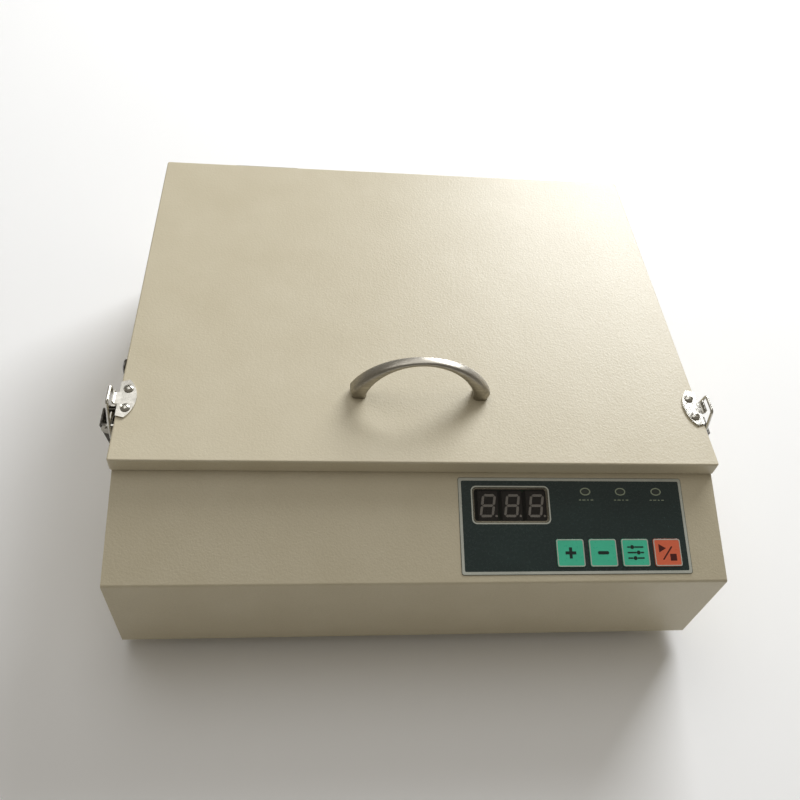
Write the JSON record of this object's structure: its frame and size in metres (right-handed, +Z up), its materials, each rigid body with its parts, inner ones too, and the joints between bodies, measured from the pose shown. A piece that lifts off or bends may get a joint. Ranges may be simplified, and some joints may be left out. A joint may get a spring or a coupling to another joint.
{
  "type": "uv exposure unit",
  "caption": "Shallow benchtop exposure unit: folded sheet case with sloped console and keys, hinged pressure lid with bow handle, a draw latch on each side, lamp bed inside.",
  "frame": {"origin": "middle of the footprint, level with the soles of the feet", "axes": "+Z up, the front panel and console face -Y, +X to the right seen from the front"},
  "size_m": [0.407, 0.3664, 0.1515],
  "materials": {
    "case_paint": "fine textured powder coat, warm beige",
    "bed_paint": "matt black",
    "bright_nickel": "bright nickel plate",
    "latch_steel": "plated steel",
    "satin_nickel": "satin nickel",
    "rubber": "matt",
    "plate_glass": "clear",
    "tube_glass": "dark violet-blue lamp glass",
    "reflector_aluminium": "polished",
    "pad_foam": "open-cell foam, matt",
    "white_plastic": "moulded",
    "board_green": "solder resist",
    "brass": "plain",
    "black_plastic": "moulded",
    "lamp_lens": "diffused",
    "overlay_print": "printed film, dark teal",
    "smoked_window": "smoked film",
    "key_green": "printed film",
    "key_red": "printed film",
    "fuse_glass": "glass with metal caps",
    "wire_sleeve": "cable sleeve"
  },
  "bodies": {
    "base": {"ballasts": "white_plastic", "base_casing": "case_paint", "bed_screws": "bright_nickel", "board_standoffs": "brass", "bottom_plate": "case_paint", "buzzer": "black_plastic", "case_screws": "bright_nickel", "control_board": "board_green", "deck_tray": "bed_paint", "digit_modules": "white_plastic", "display_window": "smoked_window", "fan_frame": "black_plastic", "fan_guard": "latch_steel", "glass_frame": "bed_paint", "glass_plate": "plate_glass", "hinge_base_leaves": "latch_steel", "hinge_pins": "latch_steel", "inlet_socket": "black_plastic", "interlock_switch": "black_plastic", "key_switches": "black_plastic", "lamp_holders": "white_plastic", "latch_bases": "bright_nickel", "led_lamps": "lamp_lens", "overlay": "overlay_print", "power_board": "board_green", "power_components": "black_plastic", "reflector": "reflector_aluminium", "rocker_bezel": "black_plastic", "rubber_feet": "rubber", "stay_stud": "latch_steel", "terminal_block": "black_plastic", "tube_caps": "reflector_aluminium", "uv_tubes": "tube_glass", "wiring": "wire_sleeve"},
    "lid": {"lid_shell": "case_paint", "foam_pad": "pad_foam", "handle": "satin_nickel", "lid_screws": "bright_nickel", "hinge_lid_leaves": "latch_steel", "strikes": "bright_nickel", "stay_bracket": "latch_steel", "interlock_magnet": "black_plastic", "side_screw": "latch_steel"},
    "stay_arm": {"stay_arm": "latch_steel"},
    "latch_lever_left": {"latch_lever_left": "latch_steel"},
    "latch_loop_left": {"latch_loop_left": "bright_nickel"},
    "latch_lever_right": {"latch_lever_right": "latch_steel"},
    "latch_loop_right": {"latch_loop_right": "bright_nickel"},
    "key_plus": {"key_plus": "key_green"},
    "key_minus": {"key_minus": "key_green"},
    "key_set": {"key_set": "key_green"},
    "key_start": {"key_start": "key_red"},
    "rocker": {"rocker": "black_plastic"},
    "fuse_drawer": {"fuse_drawer": "black_plastic", "fuse": "fuse_glass"},
    "fan_rotor": {"fan_rotor": "black_plastic"}
  },
  "joints": [
    {"name": "lid_hinge", "type": "hinge", "parent": "base", "child": "lid", "pos_m": [0, 0.18025, 0.1075], "axis": [-1, 0, 0], "range_deg": [0, 92]},
    {"name": "stay_pivot", "type": "hinge", "parent": "lid", "child": "stay_arm", "pos_m": [-0.18365, 0.1345, 0.11231], "axis": [-1, 0, 0], "range_deg": [-46, 0]},
    {"name": "latch_left", "type": "hinge", "parent": "base", "child": "latch_lever_left", "pos_m": [-0.1984, -0.07275, 0.098], "axis": [0, 1, 0], "range_deg": [0, 110]},
    {"name": "loop_left", "type": "hinge", "parent": "latch_lever_left", "child": "latch_loop_left", "pos_m": [-0.19679, -0.07275, 0.09015], "axis": [0, 1, 0], "range_deg": [-126.5, 0]},
    {"name": "latch_right", "type": "hinge", "parent": "base", "child": "latch_lever_right", "pos_m": [0.1984, -0.07275, 0.098], "axis": [0, -1, 0], "range_deg": [0, 110]},
    {"name": "loop_right", "type": "hinge", "parent": "latch_lever_right", "child": "latch_loop_right", "pos_m": [0.19679, -0.07275, 0.09015], "axis": [0, -1, 0], "range_deg": [-126.5, 0]},
    {"name": "press_plus", "type": "slide", "parent": "base", "child": "key_plus", "axis": [0, 0.335, -0.9422], "range_m": [0, 0.0005], "stiffness_N_per_m": 2500},
    {"name": "press_minus", "type": "slide", "parent": "base", "child": "key_minus", "axis": [0, 0.335, -0.9422], "range_m": [0, 0.0005], "stiffness_N_per_m": 2500},
    {"name": "press_set", "type": "slide", "parent": "base", "child": "key_set", "axis": [0, 0.335, -0.9422], "range_m": [0, 0.0005], "stiffness_N_per_m": 2500},
    {"name": "press_start", "type": "slide", "parent": "base", "child": "key_start", "axis": [0, 0.335, -0.9422], "range_m": [0, 0.0005], "stiffness_N_per_m": 2500},
    {"name": "power_rocker", "type": "hinge", "parent": "base", "child": "rocker", "pos_m": [0.084, 0.17355, 0.044], "axis": [-1, 0, 0], "range_deg": [0, 16]},
    {"name": "fuse_slide", "type": "slide", "parent": "base", "child": "fuse_drawer", "axis": [0, 1, 0], "range_m": [0, 0.012]},
    {"name": "fan_spin", "type": "hinge", "parent": "base", "child": "fan_rotor", "pos_m": [-0.09, 0.16665, 0.046], "axis": [0, 1, 0], "continuous": true}
  ],
  "couplings": [
    {"joint": "stay_pivot", "follows": "lid_hinge", "ratio": -0.5},
    {"joint": "loop_left", "follows": "latch_left", "ratio": -1.15},
    {"joint": "loop_right", "follows": "latch_right", "ratio": -1.15}
  ]
}
